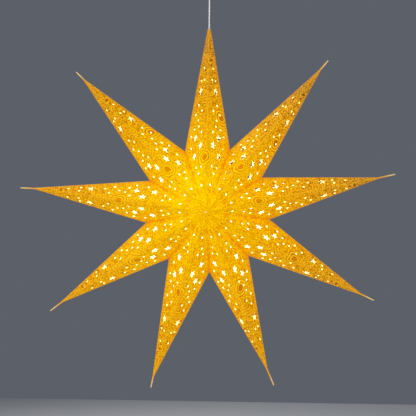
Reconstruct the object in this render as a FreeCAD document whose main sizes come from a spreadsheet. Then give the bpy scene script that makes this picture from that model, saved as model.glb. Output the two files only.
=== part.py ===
import FreeCAD, Part
import Sketcher
import math
import os
from FreeCAD import Placement, Rotation, Vector

# A folded paper star lantern that hangs on its lamp cord from a ceiling fitting.
# Lengths are in millimetres and angles in degrees. Z is up and the front of the star faces -Y.
# The origin is the middle of the ceiling face that the fitting is screwed to.
# Arms are numbered clockwise from the top one, as seen from the front.

ARMS = 9
PITCH = 360 / ARMS

# Sizes: name, value and meaning of each driving dimension.
STAR_SIZES = [
    ("hub_drop", 378, "ceiling face down to the middle of the star"),
    ("arm_reach", 299, "middle of the star to the tip of a whole arm"),
    ("fold_reach", 100, "middle of the star to the notch between two arms"),
    ("half_depth", 86.5, "middle plane of the star to its front or back point"),
    ("card_thick", 0.4, "thickness of the card"),
    ("glue_tab", 9, "width of the tabs that glue two arms together"),
    ("hub_hole", 2.6, "diameter of the hole left where the nine front points meet"),
    ("pinch_half_width", 1.25, "half the width of an arm where its pinched end begins"),
    ("tip_half_width", 0.75, "half the width of the pinched end at the tip"),
    ("top_trim", 17.6, "length cut off the tip of the top arm, where the cord comes out"),
    ("top_half_width", 2.5, "half the width of the top arm's open end"),
]
CUT_OUT_SIZES = [
    ("star_big", 14.2, "punched star, across its points"),
    ("star_small", 13.2, "the punched star nearest the tip, across its points"),
    ("star_waist", 0.38, "inner corners of a punched star, as a part of its outer radius"),
    ("tip_star_along", 113.7, "tip of the arm to the small star, along the ridge"),
    ("tip_star_across", 21.2, "ridge to the small star"),
    ("side_star_along", 186.6, "tip of the arm to the star near the outline"),
    ("side_star_across", 33.8, "ridge to the star near the outline"),
    ("ridge_star_along", 202, "tip of the arm to the star near the ridge"),
    ("ridge_star_across", 18.3, "ridge to the star near it"),
    ("hub_star_along", 215.7, "tip of the arm to the star nearest the hub"),
    ("hub_star_across", 35.6, "ridge to the star nearest the hub"),
    ("punch_middle", 180, "tip of the arm to the middle of the punching tool"),
]
LAMP_SIZES = [
    ("cord", 2.0, "diameter of the lamp cord"),
    ("cord_play", 0.1, "gap round the cord in the bores that it passes"),
    ("grip_depth", 14, "cut end of the top arm down to the head of the stopper on the cord"),
    ("grip_length", 14, "length of the stopper"),
    ("grip_play", 0.1, "gap between the stopper and the card round it"),
    ("globe_height", 27, "middle of the star up to the middle of the bulb's globe"),
    ("globe", 45, "diameter of the bulb's globe"),
    ("bulb_length", 78, "whole length of the bulb"),
    ("base", 13.5, "diameter of the bulb's screw base"),
    ("base_length", 18, "length of the screw base"),
    ("base_tip", 2, "height of the contact button on the screw base"),
    ("button_foot", 9, "diameter of that button where it leaves the base"),
    ("button_face", 5.4, "diameter of the button's flat"),
    ("neck_end", 17, "diameter of the bulb's neck where the screw base begins"),
    ("shell_play", 0.15, "gap between the screw base and the shell that it turns in"),
    ("shell_thick", 0.4, "sheet that the screw shell is drawn from"),
    ("shell_hole", 9, "diameter of the hole in the shell's flange"),
    ("contact_room", 2.5, "bulb's contact button up to the insert's face"),
    ("leaf_thick", 0.5, "leaf of the centre contact"),
    ("leaf_width", 4, "width of the leaf"),
    ("leaf_foot", 3.8, "axis of the lamp to the start of the leaf's foot"),
    ("leaf_bend", 2.2, "axis of the lamp to the end of the leaf's foot"),
    ("leaf_touch", 1.1, "axis of the lamp to the start of the leaf's flat end"),
    ("leaf_end", 2.7, "axis of the lamp to the end of the leaf"),
    ("insert", 22, "diameter of the contact insert"),
    ("insert_thick", 6, "thickness of the contact insert"),
    ("fit_play", 0.15, "gap between parts of the lampholder that slip together"),
    ("holder_wall", 1.6, "wall of the lampholder"),
    ("mouth_play", 2.2, "gap between the screw shell and the mouth of the lampholder's body"),
    ("neck_wall", 1.25, "wall of the turned-down neck round the insert"),
    ("neck_length", 12, "length of that neck, which the cap goes over"),
    ("cap_dome", 12, "height of the cap's sloping shoulder"),
    ("cap_collar", 6, "length of the collar on the cap that the cord enters"),
    ("cap_collar_width", 9, "diameter of that collar"),
]
FITTING_SIZES = [
    ("plate", 66, "diameter of the ceiling plate"),
    ("plate_thick", 3, "thickness of the ceiling plate"),
    ("screw_hole", 4.5, "diameter of the plate's two screw holes"),
    ("screw_spacing", 44, "distance between the two screw holes"),
    ("cup_play", 0.3, "gap between the plate and the cup round it"),
    ("cup_wall", 2, "wall of the ceiling cup"),
    ("cup_height", 26, "height of the ceiling cup"),
    ("cup_round", 4, "rounding of the cup's lower edge"),
    ("gland", 15, "diameter of the gland's head under the cup"),
    ("gland_head", 6, "height of the gland's head"),
    ("gland_stem", 9.8, "diameter of the gland's stem"),
    ("gland_stem_length", 6, "length of the gland's stem through the cup's floor"),
    ("gland_play", 0.1, "gap between the gland's stem and the cup's hole"),
    ("block_length", 20, "length of the terminal block"),
    ("block_width", 12, "width of the terminal block"),
    ("block_height", 9, "height of the terminal block under the plate"),
]

# Small irregularities of the glued star, arm by arm, clockwise from the top arm.
# A fold's drift is how far the fold after that arm is turned from its even place.
# A notch's shift is how much further out the notch at the end of that fold stands.
# An arm's lean is how far it is turned from the middle between its two folds.
FOLD_DRIFTS = (0.1, -0.9, -1.2, -1.7, -2.0, -2.3, -2.9, -4.3, -1.9)
NOTCH_SHIFTS = (0, -0.8, -0.8, -2.3, -0.4, -0.4, 0, 2.0, -2.0)
ARM_LEANS = (0.9, -1.2, 0.1, -0.1, 1.0, -0.3, -0.4, -0.1, -1.1)
# Length of the pinched end, and how far the tip is bent clockwise.
# The top arm is cut off and has no pinched end, so both lists start at arm 2.
PINCH_LENGTHS = (19, 28, 24, 30, 19, 25, 24, 18)
TIP_BENDS = (0.4, -1.0, -1.3, -1.2, -2.0, -2.1, -1.7, -0.4)
# How the punching tool sat on each sheet: its shift clockwise, its slip towards the hub and its turn.
PUNCH_SHIFTS = (-1.2, 0.5, 0.8, 2.3, 0.6, 0.1, 0.4, -0.6, -0.1)
PUNCH_SLIPS = (1.4, 2.5, 2.0, 1.6, 1.4, 0.7, 0.3, 0.2, 0.6)
PUNCH_TURNS = (-1.0, 0.4, 0.3, 1.1, 0.3, 0.1, 0.6, -0.3, -0.3)

# The four stars punched in each half of a face: name, diameter and turn of its first point from the tip.
PUNCHED_STARS = (
    ("tip_star", "star_small", 8),
    ("side_star", "star_big", -10),
    ("ridge_star", "star_big", 6),
    ("hub_star", "star_big", 20),
)
STAR_POINTS = 5


def irregularities():
    """Rows for the sheet that make each arm a little different."""
    rows = []
    for index, value in enumerate(FOLD_DRIFTS):
        rows.append((f"fold_drift_{index + 1}", value, f"turn of the fold after arm {index + 1}"))
    for index, value in enumerate(NOTCH_SHIFTS):
        rows.append((f"notch_shift_{index + 1}", value, f"outward shift of the notch after arm {index + 1}"))
    for index, value in enumerate(ARM_LEANS):
        rows.append((f"arm_lean_{index + 1}", value, f"turn of arm {index + 1} between its folds"))
    for index, value in enumerate(PINCH_LENGTHS):
        rows.append((f"pinch_length_{index + 2}", value, f"pinched end of arm {index + 2}"))
    for index, value in enumerate(TIP_BENDS):
        rows.append((f"tip_bend_{index + 2}", value, f"bend of the tip of arm {index + 2}"))
    for index, (shift, slip, turn) in enumerate(zip(PUNCH_SHIFTS, PUNCH_SLIPS, PUNCH_TURNS)):
        rows.append((f"punch_shift_{index + 1}", shift, f"shift of the punching tool on arm {index + 1}"))
        rows.append((f"punch_slip_{index + 1}", slip, f"slip of the punching tool on arm {index + 1}"))
        rows.append((f"punch_turn_{index + 1}", turn, f"turn of the punching tool on arm {index + 1}"))
    return rows


def fill_sheet(sheet):
    """Write every driving dimension to the sheet, each with its own alias."""
    rows = STAR_SIZES + CUT_OUT_SIZES + LAMP_SIZES + FITTING_SIZES + irregularities()
    for number, (alias, value, meaning) in enumerate(rows, start=1):
        sheet.set(f"A{number}", meaning)
        sheet.set(f"B{number}", str(value))
        sheet.setAlias(f"B{number}", alias)


# The card star


def star_point(direction, reach, depth=0):
    """A point of the star, before it is hung: direction is clockwise from the top, depth is backwards."""
    turn = math.radians(direction)
    return Vector(reach * math.sin(turn), depth, reach * math.cos(turn))


def fold_direction(number):
    """Direction of the fold after an arm; fold 0 is the one before the top arm."""
    if number == 0:
        return fold_direction(ARMS) - 360
    return PITCH * (number - 0.5) + getattr(sizes, f"fold_drift_{number}")


def notch_reach(number):
    """Middle of the star to the notch at the end of a fold."""
    return sizes.fold_reach + getattr(sizes, f"notch_shift_{number or ARMS}")


def notch_point(number):
    return star_point(fold_direction(number), notch_reach(number))


def arm_direction(number):
    middle = (fold_direction(number - 1) + fold_direction(number)) / 2
    return middle + getattr(sizes, f"arm_lean_{number}")


def solid_of(panels):
    """A closed solid from flat panels, each a list of corners."""
    faces = []
    for corners in panels:
        faces.append(Part.Face(Part.makePolygon(corners + corners[:1])))
    solid = Part.Solid(Part.Shell(faces))
    if solid.Volume < 0:
        solid.reverse()
    return solid


def below_panel(corners, middle, inset):
    """A block that fills everything further than the inset below a panel's surface."""
    normal = (corners[1] - corners[0]).cross(corners[2] - corners[0])
    normal.normalize()
    if normal.dot(middle - corners[0]) < 0:
        normal = -normal
    extent = 2 * sizes.arm_reach
    block = Part.makeBox(2 * extent, 2 * extent, extent, Vector(-extent, -extent, 0))
    block.Placement = Placement(corners[0] + normal * inset, Rotation(Vector(0, 0, 1), normal))
    return block


class ArmCorners:
    """The corners of one arm: its hub points, notches and end."""

    def __init__(self, number):
        self.number = number
        self.direction = arm_direction(number)
        turn = math.radians(self.direction)
        self.across = Vector(math.cos(turn), 0, -math.sin(turn))
        self.is_top = number == 1
        if self.is_top:
            end = sizes.arm_reach - sizes.top_trim
            half_width = sizes.top_half_width
        else:
            end = sizes.arm_reach - getattr(sizes, f"pinch_length_{number}")
            half_width = sizes.pinch_half_width
            bend = getattr(sizes, f"tip_bend_{number}")
            self.tip = star_point(self.direction, sizes.arm_reach) + self.across * bend
        end_depth = sizes.half_depth * (1 - end / sizes.arm_reach)
        self.ridge_top = star_point(self.direction, sizes.arm_reach)
        self.hubs = (Vector(0, -sizes.half_depth, 0), Vector(0, sizes.half_depth, 0))
        self.notches = (notch_point(number - 1), notch_point(number))
        self.ridge_ends = tuple(star_point(self.direction, end, depth) for depth in (-end_depth, end_depth))
        side_end = star_point(self.direction, end)
        self.side_ends = (side_end - self.across * half_width, side_end + self.across * half_width)
        self.middle = star_point(self.direction, sizes.fold_reach)

    def card_panels(self):
        """The eight outer panels: a big one and a narrow one on each side of both ridges."""
        panels = []
        for hub, ridge_end in zip(self.hubs, self.ridge_ends):
            for notch, side_end in zip(self.notches, self.side_ends):
                panels.append([hub, notch, ridge_end])
                panels.append([notch, side_end, ridge_end])
        return panels

    def fold_walls(self):
        """The two flat walls, one in each fold, that the neighbours are glued to."""
        return [[self.hubs[0], notch, self.hubs[1]] for notch in self.notches]

    def end_outline(self):
        return [self.ridge_ends[0], self.side_ends[0], self.ridge_ends[1], self.side_ends[1]]


def wall_window(notch, middle):
    """The opening in a fold's wall, which leaves a glue tab along both of its card edges."""
    outwards = Vector(notch)
    outwards.normalize()
    edge_length = math.hypot(notch.Length, sizes.half_depth)
    reach = notch.Length - sizes.glue_tab * edge_length / sizes.half_depth
    past_hub = sizes.card_thick
    depth = sizes.half_depth - sizes.glue_tab * edge_length / notch.Length
    depth += past_hub * sizes.half_depth / notch.Length
    corners = [outwards * reach, outwards * -past_hub, outwards * -past_hub]
    corners[1] = corners[1] + Vector(0, -depth, 0)
    corners[2] = corners[2] + Vector(0, depth, 0)
    inwards = outwards.cross(Vector(0, 1, 0))
    if inwards.dot(middle) < 0:
        inwards = -inwards
    start = inwards * -sizes.card_thick
    face = Part.Face(Part.makePolygon([corner + start for corner in corners + corners[:1]]))
    return face.extrude(inwards * 3 * sizes.card_thick)


def pinched_end(arm):
    """The solid blade at the end of an arm, where the card's layers are pressed and glued together."""
    half = sizes.tip_half_width
    tips = [Vector(0, -half, 0), arm.across * -half, Vector(0, half, 0), arm.across * half]
    tips = [arm.tip + offset for offset in tips]
    roots = arm.end_outline()
    panels = [roots, tips]
    for index in range(4):
        after = (index + 1) % 4
        panels.append([roots[index], roots[after], tips[index]])
        panels.append([roots[after], tips[after], tips[index]])
    return solid_of(panels)


def punched_star(centre, to_tip, across, inwards, diameter, turn):
    """A five-pointed star through the card, its first point turned from the way to the tip."""
    corners = []
    for index in range(2 * STAR_POINTS):
        radius = diameter / 2 * (1 if index % 2 == 0 else sizes.star_waist)
        angle = math.radians(turn + 180 / STAR_POINTS * index)
        corner = centre + to_tip * (radius * math.cos(angle)) + across * (radius * math.sin(angle))
        corners.append(corner - inwards * sizes.card_thick)
    face = Part.Face(Part.makePolygon(corners + corners[:1]))
    return face.extrude(inwards * 3 * sizes.card_thick)


def punched_place(number, side, across, along):
    """Where a hole comes on its panel, given how the tool sat on that arm's sheet."""
    turn = math.tan(math.radians(getattr(sizes, f"punch_turn_{number}")))
    shift = getattr(sizes, f"punch_shift_{number}") + turn * (along - sizes.punch_middle)
    slip = getattr(sizes, f"punch_slip_{number}") - turn * side * across
    return across + side * shift, along + slip


def punched_stars(arm):
    """All the stars of one arm: four in each half of its front and back faces."""
    stars = []
    for hub in arm.hubs:
        for side, notch in zip((-1, 1), arm.notches):
            to_tip = arm.ridge_top - hub
            to_tip.normalize()
            inwards = to_tip.cross(notch - hub)
            inwards.normalize()
            if inwards.dot(arm.middle - hub) < 0:
                inwards = -inwards
            across = inwards.cross(to_tip)
            if across.dot(notch - hub) < 0:
                across = -across
            for name, size, turn in PUNCHED_STARS:
                along = getattr(sizes, f"{name}_along")
                aside = getattr(sizes, f"{name}_across")
                aside, along = punched_place(arm.number, side, aside, along)
                centre = arm.ridge_top - to_tip * along + across * aside
                stars.append(punched_star(centre, to_tip, across, inwards, getattr(sizes, size), turn))
    return stars


def arm_shape(number):
    """One arm: a hollow, folded four-sided point of card with glue tabs, punched stars and a pinched end."""
    arm = ArmCorners(number)
    card_panels = arm.card_panels()
    fold_walls = arm.fold_walls()
    outer = solid_of(card_panels + fold_walls + [arm.end_outline()])
    inner = outer.copy()
    for corners in card_panels + fold_walls:
        inner = inner.common(below_panel(corners, arm.middle, sizes.card_thick))
    shape = outer.cut(inner)
    for notch in arm.notches:
        shape = shape.cut(wall_window(notch, arm.middle))
    if not arm.is_top:
        shape = shape.fuse(pinched_end(arm))
    hub_hole = Part.makeCylinder(
        sizes.hub_hole / 2, 2 * sizes.half_depth, Vector(0, -sizes.half_depth, 0), Vector(0, 1, 0)
    )
    shape = shape.cut(hub_hole)
    shape = shape.cut(Part.makeCompound(punched_stars(arm)))
    return shape.removeSplitter()


def clear_radius(reach):
    """Radius of the largest round thing that the top arm's hollow takes at this reach."""
    end = sizes.arm_reach - sizes.top_trim
    half_widths = []
    for number in (0, 1):
        turn = math.radians(fold_direction(number) - arm_direction(1))
        wide = notch_reach(number) * abs(math.sin(turn))
        slope = (wide - sizes.top_half_width) / (end - notch_reach(number) * math.cos(turn))
        half_widths.append(sizes.top_half_width + slope * (end - reach))
    half_width = min(half_widths)
    half_depth = sizes.half_depth * (1 - reach / sizes.arm_reach)
    return half_width * half_depth / math.hypot(half_width, half_depth) - sizes.card_thick


def grip_shape():
    """The tapered stopper that is clamped on the cord and carries the top arm."""
    head = sizes.arm_reach - sizes.top_trim - sizes.grip_depth
    wide = clear_radius(head - sizes.grip_length) - sizes.grip_play
    narrow = clear_radius(head) - sizes.grip_play
    foot = Vector(0, 0, head - sizes.grip_length)
    stopper = Part.makeCone(wide, narrow, sizes.grip_length, foot)
    bore = Part.makeCylinder(sizes.cord / 2 + sizes.cord_play, sizes.grip_length, foot)
    return stopper.cut(bore)


def add_card_piece(label, shape):
    """A piece whose shape comes from the sheet's sizes, hung at the star's height."""
    piece = doc.addObject("Part::Feature", label)
    piece.Label = label
    piece.Shape = shape
    piece.Placement = Placement(Vector(0, 0, -sizes.hub_drop), Rotation())
    piece.setExpression("Placement.Base.z", "-Sizes.hub_drop")
    return piece


# Turned and moulded pieces


def origin_plane(body, role):
    for feature in body.Origin.OriginFeatures:
        if feature.Role == role:
            return feature
    raise ValueError(f"{body.Label} has no {role}")


def outline_sketch(body, name, plane, outline):
    """A closed outline of straight lines; each corner is tied to the sheet by two expressions."""
    sketch = body.newObject("Sketcher::SketchObject", name)
    sketch.AttachmentSupport = (origin_plane(body, plane), [""])
    sketch.MapMode = "FlatFace"
    corners = []
    for right, up in outline:
        corners.append(Vector(sizes.evalExpression(right), sizes.evalExpression(up), 0))
    count = len(corners)
    for index in range(count):
        sketch.addGeometry(Part.LineSegment(corners[index], corners[(index + 1) % count]))
    for index in range(count):
        sketch.addConstraint(Sketcher.Constraint("Coincident", index, 2, (index + 1) % count, 1))
    for index, expressions in enumerate(outline):
        starts = (corners[index].x, corners[index].y)
        for kind, start, expression in zip(("DistanceX", "DistanceY"), starts, expressions):
            number = sketch.addConstraint(Sketcher.Constraint(kind, -1, 1, index, 1, start))
            sketch.setExpression(f"Constraints[{number}]", sheet_names(expression))
    return sketch


def sheet_names(expression):
    """The expression with each alias written as a cell of the sheet."""
    words = []
    for word in expression.split():
        bare = word.strip("()-")
        words.append(word.replace(bare, f"Sizes.{bare}") if bare in aliases else word)
    return " ".join(words)


def new_body(label, height):
    """An empty body whose zero height is set by an expression."""
    body = doc.addObject("PartDesign::Body", label)
    body.Label = label
    body.setExpression("Placement.Base.z", sheet_names(height))
    return body


def turned_body(label, height, outline):
    """A body turned round the upright axis from an outline of radius and height."""
    body = new_body(label, height)
    sketch = outline_sketch(body, f"{label}_outline", "XZ_Plane", outline)
    turned = body.newObject("PartDesign::Revolution", f"{label}_turned")
    turned.Profile = sketch
    turned.ReferenceAxis = (sketch, ["V_Axis"])
    turned.Angle = 360
    return body


# Heights in the lamp are measured up from the middle of the bulb's globe.
GLOBE = "( globe_height - hub_drop )"
BASE_START = "( bulb_length - globe / 2 - base_tip - base_length )"
BASE_END = "( bulb_length - globe / 2 - base_tip )"
INSERT_FOOT = "( bulb_length - globe / 2 + contact_room )"
HOLDER_TOP = f"( {INSERT_FOOT} + insert_thick )"
HOLDER_STEP = f"( {HOLDER_TOP} - neck_length )"
CAP_SHOULDER = f"( {HOLDER_TOP} + holder_wall )"
CAP_NECK = f"( {CAP_SHOULDER} + cap_dome )"
CAP_TOP = f"( {CAP_NECK} + cap_collar )"
SHELL_RADIUS = "( base / 2 + shell_play + shell_thick )"
MOUTH_RADIUS = f"( {SHELL_RADIUS} + mouth_play )"
INSERT_BORE = "( insert / 2 + fit_play )"
NECK_RADIUS = f"( {INSERT_BORE} + neck_wall )"
HOLDER_RADIUS = f"( {NECK_RADIUS} + holder_wall )"
CORD_BORE = "( cord / 2 + cord_play )"


def add_bulb():
    """The bulb, sealed and solid: a globe, a tapering neck, a screw base and its contact button."""
    globe = doc.addObject("Part::Sphere", "bulb_globe")
    globe.setExpression("Radius", sheet_names("globe / 2"))
    neck = doc.addObject("Part::Cone", "bulb_neck")
    # The neck leaves the globe where its side would touch it, a third of the globe's diameter up.
    neck.setExpression("Placement.Base.z", sheet_names("globe / 3"))
    neck.setExpression("Radius1", sheet_names("globe * sqrt( 5 ) / 6"))
    neck.setExpression("Radius2", sheet_names("neck_end / 2"))
    neck.setExpression("Height", sheet_names(f"{BASE_START} - globe / 3"))
    base = doc.addObject("Part::Cylinder", "bulb_base")
    base.setExpression("Placement.Base.z", sheet_names(BASE_START))
    base.setExpression("Radius", sheet_names("base / 2"))
    base.setExpression("Height", sheet_names("base_length"))
    button = doc.addObject("Part::Cone", "bulb_button")
    button.setExpression("Placement.Base.z", sheet_names(BASE_END))
    button.setExpression("Radius1", sheet_names("button_foot / 2"))
    button.setExpression("Radius2", sheet_names("button_face / 2"))
    button.setExpression("Height", sheet_names("base_tip"))
    bulb = doc.addObject("Part::MultiFuse", "led_bulb")
    bulb.Label = "led_bulb"
    bulb.Shapes = [globe, neck, base, button]
    bulb.setExpression("Placement.Base.z", sheet_names(GLOBE))
    return bulb


def add_screw_shell():
    """The threaded brass shell that the bulb screws into, with a flange riveted to the insert."""
    inside = "( base / 2 + shell_play )"
    under_flange = f"{INSERT_FOOT} - shell_thick"
    return turned_body("screw_shell", GLOBE, [
        (inside, f"{BASE_START} + shell_thick"),
        (SHELL_RADIUS, f"{BASE_START} + shell_thick"),
        (SHELL_RADIUS, INSERT_FOOT),
        ("shell_hole / 2", INSERT_FOOT),
        ("shell_hole / 2", under_flange),
        (inside, under_flange),
    ])


def add_centre_contact():
    """The spring leaf that presses on the bulb's contact button, its foot flat on the insert."""
    body = new_body("centre_contact", GLOBE)
    low = f"{INSERT_FOOT} - contact_room + shell_play"
    sketch = outline_sketch(body, "leaf_outline", "XZ_Plane", [
        ("-leaf_foot", INSERT_FOOT),
        ("-leaf_foot", f"{INSERT_FOOT} - leaf_thick"),
        ("-leaf_bend", f"{INSERT_FOOT} - leaf_thick"),
        ("leaf_touch", low),
        ("leaf_end", low),
        ("leaf_end", f"{low} + leaf_thick"),
        ("leaf_touch", f"{low} + leaf_thick"),
        ("-leaf_bend", INSERT_FOOT),
    ])
    pad = body.newObject("PartDesign::Pad", "leaf_pad")
    pad.Profile = sketch
    pad.Midplane = True
    pad.setExpression("Length", "Sizes.leaf_width")
    return body


def add_contact_insert():
    """The insulating disc that holds the contacts, with a hole for the cord's wires."""
    return turned_body("contact_insert", GLOBE, [
        (CORD_BORE, INSERT_FOOT),
        ("insert / 2", INSERT_FOOT),
        ("insert / 2", HOLDER_TOP),
        (CORD_BORE, HOLDER_TOP),
    ])


def add_holder_body():
    """The lampholder's body: a mouth round the screw shell, a ledge for the insert and a neck for the cap."""
    return turned_body("lampholder_body", GLOBE, [
        (MOUTH_RADIUS, BASE_START),
        (HOLDER_RADIUS, BASE_START),
        (HOLDER_RADIUS, HOLDER_STEP),
        (NECK_RADIUS, HOLDER_STEP),
        (NECK_RADIUS, HOLDER_TOP),
        (INSERT_BORE, HOLDER_TOP),
        (INSERT_BORE, INSERT_FOOT),
        (MOUTH_RADIUS, INSERT_FOOT),
    ])


def add_holder_cap():
    """The cap that closes the lampholder: a skirt over the neck, a shoulder and a collar for the cord."""
    skirt_bore = f"( {NECK_RADIUS} + fit_play )"
    skirt_foot = f"{HOLDER_STEP} + fit_play"
    return turned_body("lampholder_cap", GLOBE, [
        (skirt_bore, skirt_foot),
        (HOLDER_RADIUS, skirt_foot),
        (HOLDER_RADIUS, CAP_SHOULDER),
        ("cap_collar_width / 2", CAP_NECK),
        ("cap_collar_width / 2", CAP_TOP),
        (CORD_BORE, CAP_TOP),
        (CORD_BORE, f"{CAP_NECK} - holder_wall"),
        ("cap_collar_width / 2 - holder_wall", f"{CAP_NECK} - holder_wall"),
        (f"{NECK_RADIUS} - holder_wall", CAP_SHOULDER),
        (f"{NECK_RADIUS} - holder_wall", HOLDER_TOP),
        (skirt_bore, HOLDER_TOP),
    ])


def add_power_cord():
    """The lamp cord, straight and tight from the insert up to the terminal block."""
    cord = doc.addObject("Part::Cylinder", "power_cord")
    cord.Label = "power_cord"
    cord.setExpression("Radius", sheet_names("cord / 2"))
    cord.setExpression("Placement.Base.z", sheet_names(f"{GLOBE} + {HOLDER_TOP}"))
    cord.setExpression("Height", sheet_names(f"-{BLOCK_FOOT} - ( {GLOBE} + {HOLDER_TOP} )"))
    return cord


# Heights in the ceiling fitting are measured down from the ceiling.
BLOCK_FOOT = "( plate_thick + block_height )"


def add_ceiling_plate():
    """The plate that is screwed to the ceiling and holds the cup."""
    body = new_body("ceiling_plate", "0")
    sketch = body.newObject("Sketcher::SketchObject", "plate_outline")
    sketch.AttachmentSupport = (origin_plane(body, "XY_Plane"), [""])
    sketch.MapMode = "FlatFace"
    rings = [("plate", 0), ("screw_hole", -1), ("screw_hole", 1)]
    for index, (width, side) in enumerate(rings):
        centre = Vector(side * sizes.screw_spacing / 2, 0, 0)
        sketch.addGeometry(Part.Circle(centre, Vector(0, 0, 1), getattr(sizes, width) / 2))
        number = sketch.addConstraint(Sketcher.Constraint("Diameter", index, getattr(sizes, width)))
        sketch.setExpression(f"Constraints[{number}]", f"Sizes.{width}")
        if side == 0:
            sketch.addConstraint(Sketcher.Constraint("Coincident", index, 3, -1, 1))
            continue
        sketch.addConstraint(Sketcher.Constraint("PointOnObject", index, 3, -1))
        number = sketch.addConstraint(Sketcher.Constraint("DistanceX", -1, 1, index, 3, centre.x))
        sketch.setExpression(f"Constraints[{number}]", f"{side} * Sizes.screw_spacing / 2")
    pad = body.newObject("PartDesign::Pad", "plate_pad")
    pad.Profile = sketch
    pad.Reversed = True
    pad.setExpression("Length", "Sizes.plate_thick")
    return body


def add_ceiling_cup():
    """The cup that hides the plate, with a hole in its floor for the gland."""
    bore = "( plate / 2 + cup_play )"
    hole = "( gland_stem / 2 + gland_play )"
    # Middle of the rounded edge, as a part of its radius.
    middle = "( 1 - sqrt( 1 / 2 ) )"
    return turned_body("ceiling_cup", "0", [
        (bore, "0"),
        (f"{bore} + cup_wall", "0"),
        (f"{bore} + cup_wall", "cup_round - cup_height"),
        (f"{bore} + cup_wall - {middle} * cup_round", f"{middle} * cup_round - cup_height"),
        (f"{bore} + cup_wall - cup_round", "-cup_height"),
        (hole, "-cup_height"),
        (hole, "cup_wall - cup_height"),
        (f"{bore} - cup_round", "cup_wall - cup_height"),
        (bore, "cup_wall + cup_round - cup_height"),
    ])


def add_cup_gland():
    """The gland under the cup's floor that the cord comes out of."""
    return turned_body("cup_gland", "-cup_height", [
        (CORD_BORE, "-gland_head"),
        ("gland_stem / 2", "-gland_head"),
        ("gland / 2", "-gland_head / 2"),
        ("gland / 2", "0"),
        ("gland_stem / 2", "0"),
        ("gland_stem / 2", "gland_stem_length"),
        (CORD_BORE, "gland_stem_length"),
    ])


def add_terminal_block():
    """The block under the plate where the cord's wires end."""
    block = doc.addObject("Part::Box", "terminal_block")
    block.Label = "terminal_block"
    block.setExpression("Length", "Sizes.block_length")
    block.setExpression("Width", "Sizes.block_width")
    block.setExpression("Height", "Sizes.block_height")
    block.setExpression("Placement.Base.x", "-Sizes.block_length / 2")
    block.setExpression("Placement.Base.y", "-Sizes.block_width / 2")
    block.setExpression("Placement.Base.z", sheet_names(f"-{BLOCK_FOOT}"))
    return block


def check_and_export(pieces):
    """Stop on anything that failed to build, then write one file for each piece."""
    for item in doc.Objects:
        if "Invalid" in item.State or "Error" in item.State:
            raise RuntimeError(f"{item.Label} failed: {item.State}")
    os.makedirs("parts", exist_ok=True)
    for piece in pieces:
        shape = piece.Shape
        if shape.isNull() or not shape.isValid() or shape.Volume <= 0:
            raise RuntimeError(f"{piece.Label} has no valid shape")
        if len(shape.Solids) != 1:
            raise RuntimeError(f"{piece.Label} has {len(shape.Solids)} solids")
        shape.exportStep(f"parts/{piece.Label}.step")
        print(f"{piece.Label}: {shape.Volume:.1f} mm3")


doc = FreeCAD.newDocument("star_lantern")
sizes = doc.addObject("Spreadsheet::Sheet", "Sizes")
fill_sheet(sizes)
doc.recompute()
aliases = {sizes.getAlias(cell) for cell in sizes.getUsedCells() if sizes.getAlias(cell)}

pieces = [add_card_piece(f"arm_{number}", arm_shape(number)) for number in range(1, ARMS + 1)]
pieces.append(add_card_piece("cord_grip", grip_shape()))
pieces.append(add_power_cord())
pieces.append(add_holder_cap())
pieces.append(add_holder_body())
pieces.append(add_contact_insert())
pieces.append(add_screw_shell())
pieces.append(add_centre_contact())
pieces.append(add_bulb())
pieces.append(add_ceiling_plate())
pieces.append(add_ceiling_cup())
pieces.append(add_cup_gland())
pieces.append(add_terminal_block())
doc.recompute()
check_and_export(pieces)
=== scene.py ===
# %% [markdown]
# This lesson dresses a folded card star, a lantern that hangs on its lamp cord. The solids from the
# CAD step give every place and size. Here the card gets its small punched holes, its print and its
# glow, and the lamp inside and the fitting on the ceiling get their finishes. Lengths are in metres,
# Z is up and the front of the star faces -Y.

# %% Load the solids
import math
import bmesh
import bpy
from mathutils import Matrix, Vector


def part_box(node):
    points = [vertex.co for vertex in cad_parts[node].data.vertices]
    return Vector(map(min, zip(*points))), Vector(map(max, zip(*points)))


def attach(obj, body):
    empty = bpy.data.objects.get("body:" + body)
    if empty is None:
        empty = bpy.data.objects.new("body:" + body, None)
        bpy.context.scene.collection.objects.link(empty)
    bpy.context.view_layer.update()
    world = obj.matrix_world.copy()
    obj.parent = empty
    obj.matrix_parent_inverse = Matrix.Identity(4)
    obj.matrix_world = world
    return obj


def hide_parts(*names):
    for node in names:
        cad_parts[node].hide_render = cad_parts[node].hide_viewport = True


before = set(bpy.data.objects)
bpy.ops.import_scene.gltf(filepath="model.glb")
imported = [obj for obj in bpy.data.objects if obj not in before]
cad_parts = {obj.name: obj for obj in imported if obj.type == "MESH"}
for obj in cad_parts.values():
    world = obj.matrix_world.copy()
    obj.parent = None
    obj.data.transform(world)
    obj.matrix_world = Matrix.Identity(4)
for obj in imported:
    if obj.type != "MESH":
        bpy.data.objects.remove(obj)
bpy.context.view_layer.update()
print("nodes:", sorted(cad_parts))

# %% [markdown]
# The star is nine arms round one hub. A real one is glued by hand, so no two arms stand quite alike.
# The CAD step turned each fold and arm a little and moved the notches in or out. The same numbers are
# needed here to know where each sheet of card lies, so they are written once, and the cut end of the
# top arm is printed from the solid and from them.

# %% Sizes of the star
MM = 0.001
ARMS = 9
HUB = Vector((0, 0, -0.378))
ARM_REACH = 0.299
FOLD_REACH = 0.100
HALF_DEPTH = 0.0865
CARD_THICK = 0.0004
TOP_TRIM = 0.0176
FOLD_DRIFTS = (0.1, -0.9, -1.2, -1.7, -2.0, -2.3, -2.9, -4.3, -1.9)
NOTCH_SHIFTS_MM = (0, -0.8, -0.8, -2.3, -0.4, -0.4, 0, 2.0, -2.0)
ARM_LEANS = (0.9, -1.2, 0.1, -0.1, 1.0, -0.3, -0.4, -0.1, -1.1)
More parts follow.
